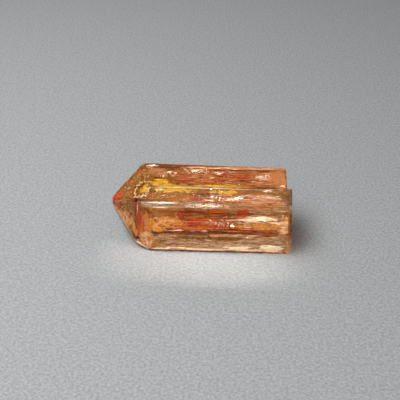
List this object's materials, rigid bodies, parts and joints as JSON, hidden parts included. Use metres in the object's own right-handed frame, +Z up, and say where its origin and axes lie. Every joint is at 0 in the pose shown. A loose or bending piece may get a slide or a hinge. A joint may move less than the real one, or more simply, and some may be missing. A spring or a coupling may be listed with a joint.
{
  "type": "topaz crystal",
  "caption": "Transparent orange-brown prismatic crystal with a pyramid tip and a stepped cleavage end, lying on a side face.",
  "frame": {"origin": "centre of the crystal's footprint, on the surface it lies on", "axes": "+X along the growth axis, from the pyramid tip to the cleavage end; +Z up from the resting face; -Y is the front"},
  "size_m": [0.0208, 0.009, 0.0067],
  "materials": {
    "topaz": "clear natural crystal with iron-stained inclusions"
  },
  "bodies": {
    "root": {"topaz_crystal": "topaz"}
  },
  "joints": []
}
